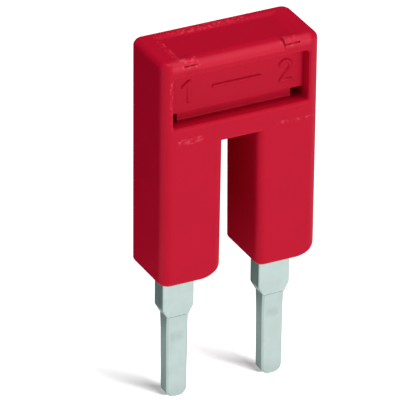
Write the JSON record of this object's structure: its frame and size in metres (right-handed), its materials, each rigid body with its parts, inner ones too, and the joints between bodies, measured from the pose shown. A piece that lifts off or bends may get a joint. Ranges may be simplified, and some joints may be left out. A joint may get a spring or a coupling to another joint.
{
  "type": "terminal block jumper bar",
  "caption": "Insulated push-in jumper: a moulded arch-shaped grip over a stamped comb whose plug pins link neighbouring terminal blocks.",
  "frame": {"origin": "under the middle of the grip, at the height of the pin tips, which is what the part stands on", "axes": "+Z from the pin tips to the top of the grip, +X along the row of terminals towards the side on which both feet are keyed, +Y from the front with the window to the plain back"},
  "size_m": [0.0096, 0.0042, 0.022],
  "materials": {
    "grip": "satin moulded red polyamide",
    "contact": "tin plating over copper, pale grey with a green cast"
  },
  "bodies": {
    "root": {"housing": "grip", "contact_comb": "contact"}
  },
  "joints": []
}
